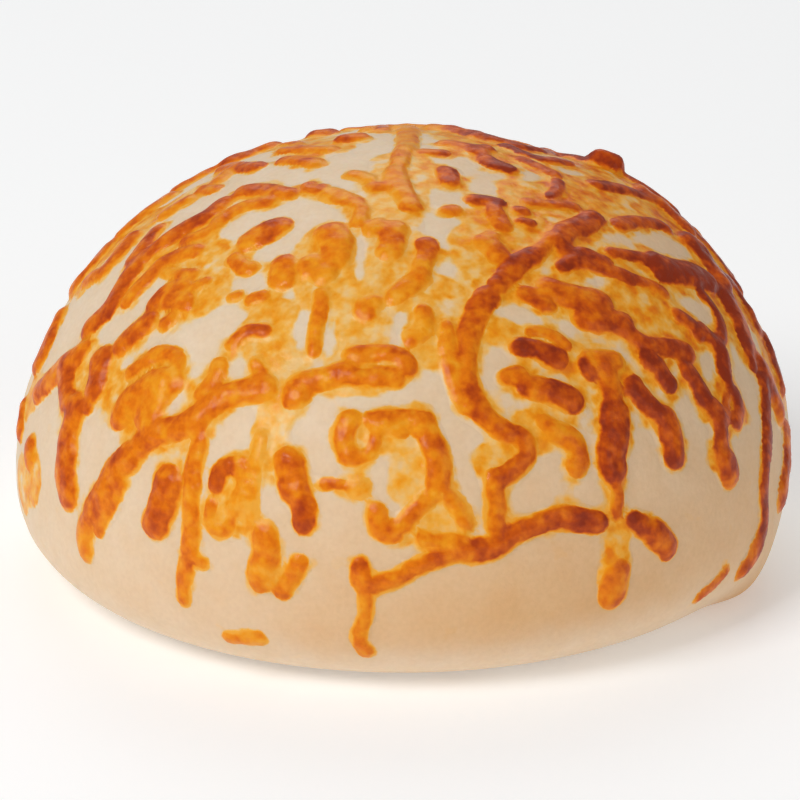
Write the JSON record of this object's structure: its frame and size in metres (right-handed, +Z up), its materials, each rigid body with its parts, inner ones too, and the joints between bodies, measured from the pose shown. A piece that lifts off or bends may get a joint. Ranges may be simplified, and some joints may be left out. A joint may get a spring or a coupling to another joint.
{
  "type": "cheese roll",
  "caption": "Round domed bread roll with a flat base, topped all over with fused strands of baked, toasted cheese.",
  "frame": {"origin": "middle of the roll's box at its foot, on the flat base that it stands on", "axes": "+Z up through the crown, -Y towards the front that shows best"},
  "size_m": [0.1052, 0.1066, 0.0571],
  "materials": {
    "cheese_topped_crust": "soft matte milk-bread crust under glossy toasted cheese",
    "dough": "pale, soft, matte bread crust",
    "cheese": "melted and toasted cheese, slightly oily"
  },
  "bodies": {
    "root": {"cheese_roll": "cheese_topped_crust"}
  },
  "joints": []
}
